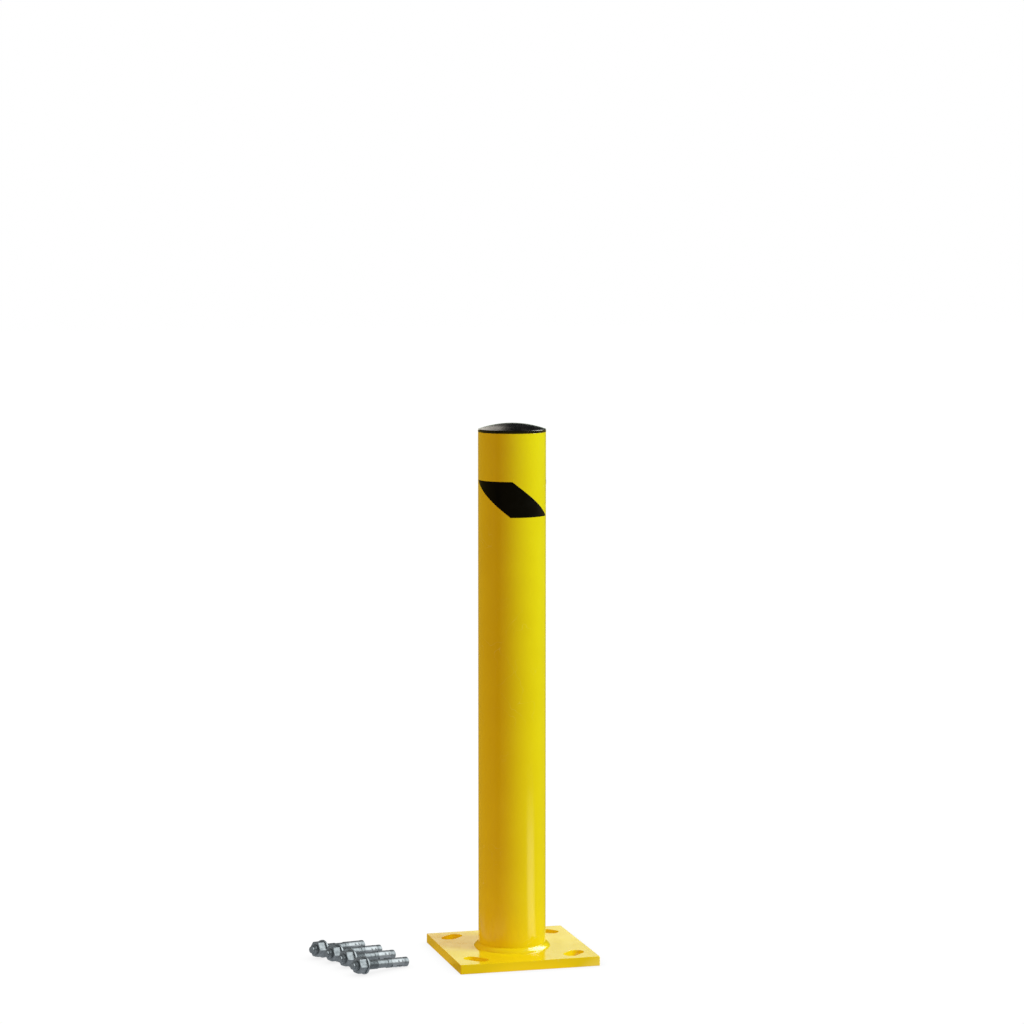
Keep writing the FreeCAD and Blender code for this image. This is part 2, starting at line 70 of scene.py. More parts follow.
def radii(node):
    """Smallest and largest distance of a CAD node's points from the post's axis."""
    found = [math.hypot(v.co.x, v.co.y) for v in frame["nodes"][node].data.vertices]
    return min(found), max(found)


FLOOR_Z = CAD_BOX[0].z
PLATE_LOW, PLATE_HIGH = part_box("base_plate")
PLATE_TOP = PLATE_HIGH.z
TUBE_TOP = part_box("post_tube")[1].z
TUBE_RADIUS = MOUNTS["post_outside"]["dims"]["r_mm"] * MM
BORE_RADIUS = radii("post_tube")[0]
WELD_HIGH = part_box("base_weld")[1]
WELD_TOP = WELD_HIGH.z
WELD_FOOT = WELD_HIGH.x
CAP_LOW, CAP_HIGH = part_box("top_cap")


# ---------------------------------------------------------------- mesh building


def shown_piece(name, build, body, stands_for, materials, crease=40.0):
    """A closed, smooth-shaded piece made from a bmesh. It rides on a body and replaces a CAD node."""
    bmesh.ops.recalc_face_normals(build, faces=build.faces)
    mesh = bpy.data.meshes.new(name)
    build.to_mesh(mesh)
    build.free()
    for material in materials:
        mesh.materials.append(material)
    mesh.shade_smooth()
    mesh.set_sharp_from_angle(angle=math.radians(crease))
    piece = bpy.data.objects.new(name, mesh)
    bpy.context.scene.collection.objects.link(piece)
    weighting = piece.modifiers.new("even_shading", "WEIGHTED_NORMAL")
    weighting.keep_sharp = True
    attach(piece, body)
    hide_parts(stands_for)
    return piece


def join_rings(build, rings, closed):
    """Quads between neighbouring rings of vertices; closed joins the last ring to the first."""
    pairs = list(zip(rings, rings[1:]))
    if closed:
        pairs.append((rings[-1], rings[0]))
    faces = []
    for lower, upper in pairs:
        for i in range(len(lower)):
            j = (i + 1) % len(lower)
            faces.append(build.faces.new((lower[i], lower[j], upper[j], upper[i])))
    return faces


def turned_ring(build, angles, point):
    """One ring of vertices; point(angle) gives each one's radius and height."""
    ring = []
    for angle in angles:
        radius, height = point(angle)
        ring.append(build.verts.new((radius * math.cos(angle), radius * math.sin(angle), height)))
    return ring


def even_angles(count):
    """Angles evenly spread round the post."""
    return [TURN * i / count for i in range(count)]


def corner_arc(centre, radius, start, end, steps):
    """Points (radius, height) round an arc, its angles in degrees from the radial direction."""
    points = []
    for i in range(steps + 1):
        angle = math.radians(start + (end - start) * i / steps)
        points.append((centre[0] + radius * math.cos(angle), centre[1] + radius * math.sin(angle)))
    return points


# ---------------------------------------------------------------- material building


class Paint:
    """One material's node tree, built from small steps."""

    def __init__(self, name):
        """An empty tree; place is each point's position in the frame."""
        self.material = bpy.data.materials.new(name)
        self.material.use_nodes = True
        self.tree = self.material.node_tree
        self.tree.nodes.clear()
        self.place = self.node("TexCoord").outputs["Object"]

    def node(self, kind, **settings):
        """A new shader node of one kind."""
        made = self.tree.nodes.new("ShaderNode" + kind)
        for name, setting in settings.items():
            setattr(made, name, setting)
        return made

    def feed(self, socket, given):
        """Links a socket to another node's output, or sets its value."""
        if isinstance(given, bpy.types.NodeSocket):
            self.tree.links.new(given, socket)
        elif isinstance(given, tuple) and len(given) == 3 and socket.type == "RGBA":
            socket.default_value = (*given, 1.0)
        else:
            socket.default_value = given

    def math(self, operation, *given):
        """The result of one step of arithmetic."""
        made = self.node("Math", operation=operation)
        for socket, one in zip(made.inputs, given):
            self.feed(socket, one)
        return made.outputs[0]

    def mix(self, factor, first, second):
        """A blend of two colours; a factor above 1 goes on past the second one."""
        made = self.node("Mix", data_type="RGBA", clamp_factor=False)
        for index, given in ((0, factor), (6, first), (7, second)):
            self.feed(made.inputs[index], given)
        return made.outputs[2]

    def add(self, first, second):
        """The sum of two colours."""
        made = self.node("Mix", data_type="RGBA", blend_type="ADD")
        for index, given in ((0, 1.0), (6, first), (7, second)):
            self.feed(made.inputs[index], given)
        return made.outputs[2]

    def remap(self, given, low, high, new_low, new_high, smooth=False):
        """A value taken from low to high onto new_low to new_high, and held at both ends."""
        made = self.node("MapRange", interpolation_type="SMOOTHSTEP" if smooth else "LINEAR")
        for name, one in zip(("Value", "From Min", "From Max", "To Min", "To Max"),
                             (given, low, high, new_low, new_high)):
            self.feed(made.inputs[name], one)
        return made.outputs[0]

    def noise(self, size, detail=2.0, stretch=(1.0, 1.0, 1.0)):
        """Noise whose lumps are about size metres across, drawn out along an axis by stretch."""
        moved = self.node("Mapping")
        self.feed(moved.inputs["Vector"], self.place)
        moved.inputs["Scale"].default_value = [1 / (size * along) for along in stretch]
        made = self.node("TexNoise")
        self.feed(made.inputs["Vector"], moved.outputs[0])
        made.inputs["Scale"].default_value = 1.0
        made.inputs["Detail"].default_value = detail
        return made.outputs[0]

    def scratches(self, size, threshold):
        """Thin broken lines, 1 on a line and 0 elsewhere."""
        ridge = self.math("ABSOLUTE", self.math("SUBTRACT", self.noise(size, 1.0), 0.5))
        line = self.remap(ridge, 0.0, threshold, 1.0, 0.0)
        broken = self.remap(self.noise(size * 3, 2.0), 0.52, 0.62, 0.0, 1.0)
        return self.math("MULTIPLY", line, broken)

    def cavity(self, distance):
        """1 in the open, falling towards 0 in corners and grooves."""
        made = self.node("AmbientOcclusion", samples=8)
        made.inputs["Distance"].default_value = distance
        return made.outputs["AO"]

    def rounded(self, radius):
        """The surface's normal with its edges shaded as if they were rounded."""
        made = self.node("Bevel", samples=4)
        made.inputs["Radius"].default_value = radius
        return made.outputs[0]

    def bump(self, height, depth, normal=None):
        """A normal from a height of 0 to 1 that stands for depth metres."""
        made = self.node("Bump")
        made.inputs["Strength"].default_value = 1.0
        made.inputs["Distance"].default_value = depth
        self.feed(made.inputs["Height"], height)
        if normal is not None:
            self.feed(made.inputs["Normal"], normal)
        return made.outputs[0]

    def finish(self, **inputs):
        """The material, from a principled shader with these inputs."""
        shader = self.node("BsdfPrincipled")
        for name, given in inputs.items():
            self.feed(shader.inputs[name.replace("_", " ")], given)
        return self.output(shader.outputs[0])

    def glow(self, colour):
        """A shader that gives off this colour."""
        shader = self.node("Emission")
        self.feed(shader.inputs["Color"], colour)
        return shader.outputs[0]

    def output(self, surface):
        """The material, with this shader as its surface."""
        end = self.node("OutputMaterial")
        self.tree.links.new(surface, end.inputs["Surface"])
        return self.material


def powder_coat():
    """Glossy yellow powder coat: orange peel, a slow drift of tone, and painted shade that deepens
    the colour towards orange in corners.
    """
    paint = Paint("yellow_powder_coat")
    drift = paint.remap(paint.noise(0.09, 3.0), 0.35, 0.65, 0.0, 1.0)
    colour = paint.mix(drift, (0.90, 0.640, 0.0050), (0.87, 0.605, 0.0040))
    # painted shade: where ambient occlusion finds a corner, such as the weld's toe or a slot's edge,
    # the colour goes deeper orange
    corner = paint.remap(paint.cavity(0.010), 0.25, 0.85, 0.25, 0.0)
    colour = paint.mix(corner, colour, (0.74, 0.42, 0.002))
    scuff = paint.scratches(0.030, 0.006)
    colour = paint.mix(paint.math("MULTIPLY", scuff, 0.25), colour, (0.95, 0.78, 0.15))
    peel = paint.noise(0.0017, 1.0)
    waves = paint.noise(0.006, 1.0)
    height = paint.math("ADD", paint.math("MULTIPLY", peel, 0.5), waves)
    peel_depth = 0.024 * MM
    rough = paint.remap(paint.noise(0.025, 4.0), 0.3, 0.7, 0.10, 0.19)
    rough = paint.math("ADD", rough, paint.math("MULTIPLY", scuff, 0.15))
    return paint.finish(
        Base_Color=colour, Roughness=rough, IOR=1.5,
        Normal=paint.bump(height, peel_depth),
    )


def bore_steel():
    """Inside of the tube: overspray near the rim, fading into grey mill scale with rust specks."""
    paint = Paint("bare_bore_steel")
    spray_starts = TUBE_TOP - 0.030
    up = paint.node("SeparateXYZ")
    paint.feed(up.inputs[0], paint.place)
    scale = paint.mix(paint.remap(paint.noise(0.02, 5.0), 0.3, 0.7, 0.0, 1.0),
                      (0.055, 0.052, 0.050), (0.125, 0.118, 0.110))
    rust = paint.remap(paint.noise(0.006, 6.0), 0.58, 0.68, 0.0, 0.7)
    steel = paint.mix(rust, scale, (0.16, 0.060, 0.020))
    ragged = paint.math("MULTIPLY", paint.noise(0.012, 4.0), 0.02)
    height_up = paint.math("ADD", up.outputs[2], ragged)
    spray = paint.remap(height_up, spray_starts, TUBE_TOP + 0.008, 0.0, 1.0, smooth=True)
    colour = paint.mix(spray, steel, (0.85, 0.58, 0.006))
    height = paint.noise(0.0015, 3.0)
    return paint.finish(
        Base_Color=colour, Roughness=paint.remap(spray, 0.0, 1.0, 0.55, 0.30),
        Metallic=paint.remap(spray, 0.0, 0.6, 0.6, 0.0), Normal=paint.bump(height, 0.06 * MM),
    )


def cap_plastic():
    """Satin black polyethylene with a fine moulded grain, faint dust and rubbed patches."""
    paint = Paint("satin_black_plastic")
    cloud = paint.remap(paint.noise(0.018, 4.0), 0.35, 0.65, 0.0, 1.0)
    colour = paint.mix(cloud, (0.002, 0.002, 0.002), (0.005, 0.004, 0.003))
    scuff = paint.scratches(0.012, 0.01)
    colour = paint.mix(paint.math("MULTIPLY", scuff, 0.5), colour, (0.07, 0.07, 0.07))
    grain = paint.noise(0.0006, 2.0)
    rough = paint.remap(cloud, 0.0, 1.0, 0.20, 0.29)
    return paint.finish(
        Base_Color=colour, Roughness=rough, IOR=1.5,
        Normal=paint.bump(grain, 0.02 * MM),
    )


def black_tape():
    """Black vinyl: smooth, with the slight ripple that a rolled-on film keeps."""
    paint = Paint("black_vinyl_tape")
    cloud = paint.remap(paint.noise(0.015, 3.0), 0.35, 0.65, 0.0, 1.0)
    colour = paint.mix(cloud, (0.0012, 0.0011, 0.0013), (0.0026, 0.0023, 0.0024))
    ripple = paint.noise(0.004, 1.0, stretch=(1.0, 1.0, 3.0))
    grain = paint.noise(0.0005, 1.0)
    height = paint.math("ADD", ripple, paint.math("MULTIPLY", grain, 0.15))
    return paint.finish(
        Base_Color=colour, Roughness=paint.remap(cloud, 0.0, 1.0, 0.28, 0.36), IOR=1.45,
        Specular_IOR_Level=0.13, Normal=paint.bump(height, 0.02 * MM),
    )


def zinc_plate(name, bright, dull, rough_low, rough_high):
    """Clear zinc plating: cloudy spangle, fine grain, painted shade that darkens the grooves, and
    edges shaded as if rounded.
    """
    paint = Paint(name)
    cloud = paint.remap(paint.noise(0.0045, 4.0), 0.35, 0.65, 0.0, 1.0)
    colour = paint.mix(cloud, dull, bright)
    # painted shade: grooves such as thread roots go dark where ambient occlusion finds them
    painted_groove_shade = paint.remap(paint.cavity(2.0 * MM), 0.10, 0.60, 0.90, 0.0)
    colour = paint.mix(painted_groove_shade, colour, (0.035, 0.038, 0.042))
    grain = paint.noise(0.0004, 2.0)
    rough = paint.remap(cloud, 0.0, 1.0, rough_high, rough_low)
    rough = paint.math("ADD", rough, paint.math("MULTIPLY", grain, 0.08))
    return paint.finish(
        Base_Color=colour, Roughness=rough, Metallic=1.0,
        Normal=paint.bump(grain, 0.012 * MM, paint.rounded(0.25 * MM)),
    )


# ---------------------------------------------------------------- the post


def steel_post(coat, bore):
    """The tube, as one closed turned section with a broken edge at its top."""
    edge = 0.2 * MM
    foot = PLATE_TOP
    section = [(TUBE_RADIUS, foot)]
    section += corner_arc((TUBE_RADIUS - edge, TUBE_TOP - edge), edge, 0, 90, 5)
    section += corner_arc((BORE_RADIUS + edge, TUBE_TOP - edge), edge, 90, 180, 5)
    section += [(BORE_RADIUS, foot)]
    build = bmesh.new()
    angles = even_angles(288)
    rings = [turned_ring(build, angles, lambda _, at=at: at) for at in section]
    faces = join_rings(build, rings, closed=True)
    for face in faces:
        middle = face.calc_center_median()
        in_bore = math.hypot(middle.x, middle.y) < BORE_RADIUS + 0.2 * edge
        face.material_index = 1 if in_bore else 0
    return shown_piece("steel_post", build, "post", "post_tube", [coat, bore])


def rounded_square(half, corner, grow):
    """A square's outline with rounded corners, moved outwards by grow."""
    radius = corner + grow
    centre = half - corner
    steps = 6
    points = []
    for quarter in range(4):
        for step in range(steps + 1):
            angle = TURN / 4 * (quarter + step / steps)
            sign_x = 1 if quarter in (0, 3) else -1
            sign_y = 1 if quarter in (0, 1) else -1
            points.append((sign_x * centre + radius * math.cos(angle),
                           sign_y * centre + radius * math.sin(angle)))
    return points


def slot_outline(centre_x, centre_y, radius, reach, grow):
    """A slot's outline. It lies square to the line from the post's axis to its centre."""
    heading = math.atan2(centre_y, centre_x) + TURN / 4
    steps = 24
    points = []
    for end, shift in ((0, reach), (1, -reach)):
        for step in range(steps + 1):
            angle = heading + TURN / 2 * (end + step / steps - 0.5)
            points.append((
                centre_x + shift * math.cos(heading) + (radius + grow) * math.cos(angle),
                centre_y + shift * math.sin(heading) + (radius + grow) * math.sin(angle),
            ))
    return points


def edge_levels(low, high, edge):
    """Pairs (inset, height) that walk up a wall whose two edges are rounded."""
    flat = 0.5 * MM
    below = corner_arc((-edge, low + edge), edge, -90, 0, 4)
    above = corner_arc((-edge, high - edge), edge, 0, 90, 4)
    walls = [(-r, z) for r, z in below + above]
    return [(edge + flat, low)] + walls + [(edge + flat, high)]


def slotted_plate(coat):
    """The base plate with its four slots and softly rounded edges."""
    half = PLATE_HIGH.x
    corner = 1.5 * MM
    edge = 0.6 * MM
    slots = MOUNTS["anchor_slots"]["dims"]
    radius = slots["hole_r_mm"] * MM
    reach = slots["slot_length_mm"] * MM / 2 - radius
    across = slots["spacing_x_mm"] * MM / 2
    along = slots["spacing_y_mm"] * MM / 2
    build = bmesh.new()
    levels = edge_levels(PLATE_LOW.z, PLATE_TOP, edge)
    outlines = [lambda inset: rounded_square(half, corner, -inset)]
    for x, y in ((across, along), (-across, along), (-across, -along), (across, -along)):
        outlines.append(lambda inset, x=x, y=y: slot_outline(x, y, radius, reach, inset))
    ends = {0: [], len(levels) - 1: []}
    for outline in outlines:
        rings = []
        for inset, height in levels:
            rings.append([build.verts.new((x, y, height)) for x, y in outline(inset)])
        join_rings(build, rings, closed=False)
        for level, edges in ends.items():
            ring = rings[level]
            for i in range(len(ring)):
                edges.append(build.edges.get((ring[i], ring[(i + 1) % len(ring)])))
    for edges in ends.values():
        bmesh.ops.triangle_fill(build, use_beauty=True, edges=edges)
    return shown_piece("slotted_base_plate", build, "post", "base_plate", [coat])


def foot_weld(coat):
    """The painted fillet weld: a slightly convex bead, faint ripples and one start-stop lump."""
    rise = WELD_TOP - PLATE_TOP
    reach = WELD_FOOT - TUBE_RADIUS
    chord = math.hypot(rise, reach)
    face_radius = 1.5 * chord
    sunk = 0.4 * MM
    steps = 14
    ripple_pitch = 2.7 * MM
    ripple = 0.05 * MM
    drag = 2.2 * MM
    sway = 0.10 * MM
    stop_angle, stop_width = math.radians(100), math.radians(5)
    stop_height = 0.30 * MM
    facing = math.atan2(reach, rise)
    spread = math.asin(chord / 2 / face_radius)
    back = face_radius * math.cos(spread)
    centre = (TUBE_RADIUS + reach / 2 - back * math.cos(facing),
              PLATE_TOP + rise / 2 - back * math.sin(facing))
    face = corner_arc(centre, face_radius, math.degrees(facing + spread),
                      math.degrees(facing - spread), steps)

    def bead(angle, step, at):
        """A point of the face, moved out or in by the ripples, the sway and the stop's lump."""
        share = step / steps
        belly = math.sin(math.pi * share)
        sweep = angle * (TUBE_RADIUS + reach / 2) + drag * (2 * share - 1) ** 2
        wander = 0.10 * math.sin(3 * angle + 1) + 0.07 * math.sin(11 * angle + 2)
        lump = math.exp(-((angle - stop_angle) / stop_width) ** 2)
        height = ripple * math.sin(TURN * sweep / ripple_pitch) * (0.6 + wander)
        height += stop_height * lump + sway * math.sin(2 * angle)
        out = (at[0] - centre[0], at[1] - centre[1])
        return tuple(a + belly * height * o / face_radius for a, o in zip(at, out))

    build = bmesh.new()
    angles = even_angles(960)
    rings = [turned_ring(build, angles, lambda angle: (TUBE_RADIUS - sunk, WELD_TOP))]
    for step, at in enumerate(face):
        rings.append(turned_ring(build, angles, lambda angle, s=step, at=at: bead(angle, s, at)))
    rings.append(turned_ring(build, angles, lambda angle: (WELD_FOOT, PLATE_TOP - sunk)))
    rings.append(turned_ring(build, angles, lambda angle: (TUBE_RADIUS - sunk, PLATE_TOP - sunk)))
    join_rings(build, rings, closed=True)
    return shown_piece("foot_weld", build, "post", "base_weld", [coat])


# ---------------------------------------------------------------- cap and tapes


def rib_angles(count, half_width, slope):
    """Column angles round the cap, with extra ones at each rib's two sides."""
    spacing = TURN / count
    inner = [-half_width - slope, -half_width, half_width, half_width + slope]
    gap = spacing - 2 * (half_width + slope)
    plain = [half_width + slope + gap * i / 11 for i in range(1, 11)]
    return [rib * spacing + a for rib in range(count) for a in inner + plain]


def domed_cap(plastic):
    """The plug: dome, lip, hollow skirt and the ribs that grip the bore."""
    shell = 2.4 * MM
    lip = CAP_HIGH.x
    lip_edge = 1.2 * MM
    under_edge = 0.3 * MM
    skirt_edge = 0.5 * MM
    ribs_round = 12
    seat = TUBE_TOP
    lip_top = seat + 5.2 * MM
    skirt = BORE_RADIUS - 0.8 * MM
    inside = skirt - shell
    foot = lip - lip_edge
    rise = CAP_HIGH.z - lip_top
    dome = (foot ** 2 + rise ** 2) / (2 * rise)
    gate, gate_depth = 1.6 * MM, 0.2 * MM
    rib_reach = BORE_RADIUS - 0.06 * MM
    rib_foot = CAP_LOW.z + 4 * MM
    half_width = 0.9 * MM / rib_reach
    slope = 0.15 * MM / rib_reach

    def dome_height(radius, sphere, top):
        """The height of a sphere with its top on the post's axis."""
        return top - sphere + math.sqrt(sphere ** 2 - radius ** 2)

    gate_floor = CAP_HIGH.z - gate_depth
    gate_rim = gate + 0.3 * MM
    section = [(0.4 * MM, gate_floor), (gate, gate_floor)]
    section += [(gate_rim, dome_height(gate, dome, CAP_HIGH.z))]
    for i in range(1, 25):
        radius = gate_rim + (foot - gate) * i / 25
        section.append((radius, dome_height(radius, dome, CAP_HIGH.z)))
    lean = math.degrees(math.asin(foot / dome))
    section += corner_arc((foot, lip_top - lip_edge), lip_edge, 90 - lean / 2, 0, 6)
    section += corner_arc((lip - under_edge, seat + under_edge), under_edge, 0, -90, 3)
    ribbed = len(section)
    section += [(skirt, seat), (skirt, seat - 0.6 * MM), (skirt, rib_foot + 1.5 * MM)]
    ribs = range(ribbed, len(section))
    round_at = CAP_LOW.z + skirt_edge
    section += [(skirt, rib_foot)]
    section += corner_arc((skirt - skirt_edge, round_at), skirt_edge, 0, -90, 3)
    section += corner_arc((inside + skirt_edge, round_at), skirt_edge, -90, -180, 3)
    under_top = CAP_HIGH.z - shell
    for i in range(12):
        radius = inside * (1 - i / 12)
        section.append((radius, dome_height(radius, dome - shell, under_top)))

    spacing = TURN / ribs_round

    def on_rib(angle):
        """True for the columns of vertices that stand on a rib."""
        nearest = abs((angle + spacing / 2) % spacing - spacing / 2)
        return nearest < half_width + slope / 2

    build = bmesh.new()
    angles = rib_angles(ribs_round, half_width, slope)
    rings = []
    for index, (radius, height) in enumerate(section):
        def point(angle, index=index, radius=radius, height=height):
            """The section's point, or the rib's face where the column stands on a rib."""
            return (rib_reach if index in ribs and on_rib(angle) else radius, height)
        rings.append(turned_ring(build, angles, point))
    join_rings(build, rings, closed=False)
    for ring in (rings[0], rings[-1]):
        height = ring[0].co.z
        pole = build.verts.new((0.0, 0.0, height))
        for i in range(len(ring)):
            build.faces.new((pole, ring[i], ring[(i + 1) % len(ring)]))
    return shown_piece("domed_cap", build, "cap", "top_cap", [plastic], crease=50)


def edge_spread(length, edge, middle_steps):
    """Distances from 0 to length, close together near both ends."""
    near = [0.0, 0.35 * edge, edge]
    middle = [edge + (length - 2 * edge) * i / middle_steps for i in range(1, middle_steps)]
    return near + middle + [length - one for one in reversed(near)]


def tape_piece(name, node, vinyl):
    """A leaning band of tape, wrapped on the tube between the CAD node's four corners."""
    points = [v.co for v in frame["nodes"][node].data.vertices]
    top = max(p.z for p in points)
    bottom = min(p.z for p in points)
    centre = sum(points, Vector()) / len(points)
    facing = math.atan2(centre.y, centre.x)

    def span(height):
        """The lowest and highest angle of the points at one height, measured round facing."""
        level = [p for p in points if abs(p.z - height) < 0.05 * MM]
        turns = [math.atan2(p.y, p.x) - facing for p in level]
        turns = [(turn + math.pi) % TURN - math.pi for turn in turns]
        return facing + min(turns), facing + max(turns)

    top_start, top_end = span(top)
    bottom_start = span(bottom)[0]
    arc = top_end - top_start
    thickness = radii(node)[1] - TUBE_RADIUS
    edge = 0.5 * MM
    width = arc * TUBE_RADIUS
    height = top - bottom
    across = edge_spread(width, edge, 48)
    down = edge_spread(height, edge, 24)
    build = bmesh.new()

    def sheet(lift):
        """Rows of vertices over the band; lift(0 to 1, from its rim inwards) gives their height."""
        rows = []
        for d in down:
            row = []
            for a in across:
                start = top_start + (bottom_start - top_start) * d / height
                angle = start + arc * a / width
                near = min(a, width - a, d, height - d, edge) / edge
                radius = TUBE_RADIUS + lift(math.sqrt(near * (2 - near)))
                place = (radius * math.cos(angle), radius * math.sin(angle), top - d)
                row.append(build.verts.new(place))
            rows.append(row)
        return rows

    outer = sheet(lambda rounding: thickness * (0.3 + 0.7 * rounding))
    inner = sheet(lambda rounding: -0.05 * MM)
    for rows in (outer, inner):
        for first, second in zip(rows, rows[1:]):
            for i in range(len(first) - 1):
                build.faces.new((first[i], first[i + 1], second[i + 1], second[i]))

    def rim(rows):
        """The sheet's outer vertices, in order."""
        right = [row[-1] for row in rows[1:-1]]
        left = [row[0] for row in reversed(rows[1:-1])]
        return rows[0] + right + list(reversed(rows[-1])) + left

    join_rings(build, [rim(outer), rim(inner)], closed=False)
    return shown_piece(name, build, "post", node, [vinyl])


# ---------------------------------------------------------------- the anchors


def loose_anchors():
    """The CAD nodes of the four anchors, by name."""
    return {name: node for name, node in frame["nodes"].items() if name.startswith("anchor_")}


def finish_anchors():
    """The anchors keep their CAD shapes, threads and all, and get a zinc finish by kind of part."""
    finishes = {
        "stud": zinc_plate("zinc_on_stud", (0.56, 0.59, 0.60), (0.40, 0.43, 0.44), 0.20, 0.34),
        "clip": zinc_plate("zinc_on_clip", (0.76, 0.78, 0.79), (0.62, 0.64, 0.65), 0.13, 0.24),
        "washer": zinc_plate("zinc_on_washer", (0.68, 0.71, 0.72), (0.52, 0.55, 0.56), 0.24, 0.36),
        "nut": zinc_plate("zinc_on_nut", (0.58, 0.61, 0.62), (0.44, 0.47, 0.48), 0.30, 0.44),
    }
    for name, node in loose_anchors().items():
        kind = name.split("_")[-1]
        node.data.materials.clear()
        node.data.materials.append(finishes[kind])


# ---------------------------------------------------------------- the studio

# the camera's heading, and the directions to its right and away from it
HEADING = math.radians(-15.08)
RIGHT = Vector((math.cos(HEADING), math.sin(HEADING), 0.0))
AWAY = Vector((-math.sin(HEADING), math.cos(HEADING), 0.0))

# a lamp's role: it lights matt colour, or it shows in reflections
MATT, MIRROR = "matt", "mirror"

# the light tent's two corners, the way towards its brightest wall, and its two tones
TENT_LOW = Vector((-0.60, -0.35, FLOOR_Z - 0.1))
TENT_HIGH = Vector((-0.165, 0.40, FLOOR_Z + 0.7))
TENT_BRIGHT_WAY = Vector((0.74, -0.16, 0.60)).normalized()
TENT_BRIGHT = (1.12, 1.20, 1.22)
TENT_DIM = (0.19, 0.20, 0.205)

# what the floor and the world send out as matt light and into reflections
FLOOR_MATT = (0.45, 0.35, 0.40)
FLOOR_MIRROR = (0.40, 0.31, 0.06)
FLOOR_PATCH = (1.90, 1.90, 1.60)
FLOOR_AT_ZINC = (0.30, 0.32, 0.34)
WORLD_MATT = (0.82, 0.59, 0.50)
WORLD_MIRROR = (0.018, 0.018, 0.022)
WHITE = (1.0, 1.0, 1.0)
DARK = (0.0, 0.0, 0.0)


def studio(right, away, up):
    """A place given from the camera's side: to its right, away from it and above the floor."""
    return RIGHT * right + AWAY * away + Vector((0.0, 0.0, up + FLOOR_Z))


def camera():
    """The product camera, looking slightly down from above the post's top."""
    lens = bpy.data.cameras.new("product_camera")
    lens.sensor_width = 36.0
    lens.lens = 110.09
    lens.clip_end = 100.0
    holder = bpy.data.objects.new("product_camera", lens)
    bpy.context.scene.collection.objects.link(holder)
    holder.location = studio(0.0, -5.2464, 1.2463)
    holder.rotation_euler = (math.radians(90.0 - 5.331), 0.0, HEADING)
    bpy.context.scene.camera = holder


def lit_group(name, pieces, state="INCLUDE"):
    """A light-linking group: a lamp with it reaches only these pieces, or all but them."""
    group = bpy.data.collections.new(name)
    for piece in pieces:
        group.objects.link(piece)
    for linked in group.collection_objects:
        linked.light_linking.link_state = state
    return group


def lamp(name, place, aim, size, radiance, colour, role, group):
    """A soft rectangular lamp that either lights matt colour or makes reflections."""
    light = bpy.data.lights.new(name, "AREA")
    light.shape = "RECTANGLE"
    light.size, light.size_y = size
    light.energy = radiance * math.pi * size[0] * size[1]
    light.color = colour
    holder = bpy.data.objects.new(name, light)
    bpy.context.scene.collection.objects.link(holder)
    holder.location = place
    holder.rotation_euler = (place - aim).to_track_quat("Z", "Y").to_euler()
    holder.visible_camera = False
    holder.visible_diffuse = role == MATT
    holder.visible_glossy = role == MIRROR
    holder.light_linking.receiver_collection = group


def lamps():
    """Every lamp, aimed at the post's middle, foot or crown."""
    middle = studio(0.0, 0.0, 0.45)
    foot = studio(0.0, 0.0, 0.05)
    crown = studio(0.0, 0.0, 0.90)
    loose = list(loose_anchors().values())
    others = lit_group("all_but_anchors", loose, "EXCLUDE")
    weld = bpy.data.objects["foot_weld"]
    flats = lit_group("all_but_anchors_and_weld", loose + [weld], "EXCLUDE")
    cap = lit_group("cap_only", [bpy.data.objects["domed_cap"]])
    post = lit_group("post_only", [bpy.data.objects["steel_post"]])
    # matt light: a greenish key from the right, a fill from behind on the left, and a rear
    # key for the post's far side
    lamp("key", studio(3.0, -0.9, 2.2), middle, (1.6, 1.6), 14.4, (0.52, 1.0, 0.85), MATT, others)
    lamp("fill", studio(-2.6, 1.4, 1.8), middle, (1.5, 1.5), 2.5, (0.90, 1.0, 0.70), MATT, others)
    lamp("rear_key", studio(0.3, 4.5, 1.2), middle, (1.6, 1.6), 10.0, (0.62, 1.0, 0.80), MATT, post)
    # reflections: a low card behind, a tall box behind on the left, a big box high on the right
    lamp("back_card", studio(0.0, 5.0, 1.15), foot, (6.0, 0.8), 1.1, (0.84, 1.0, 0.76), MIRROR, flats)
    lamp("back_left", studio(-1.0, 3.4, 2.1), crown, (1.4, 2.6), 1.8, (1.0, 0.94, 0.84), MIRROR, cap)
    lamp("soft_box", studio(2.2, 1.1, 2.3), foot, (2.2, 2.2), 11.0, (1.0, 1.0, 0.95), MIRROR, others)


def staged(name, mesh, paint, surface):
    """An object outside the bollard that glows with a shader, and isn't sampled as a lamp."""
    material = paint.output(surface)
    material.cycles.emission_sampling = "NONE"
    mesh.materials.append(material)
    made = bpy.data.objects.new(name, mesh)
    bpy.context.scene.collection.objects.link(made)
    return made


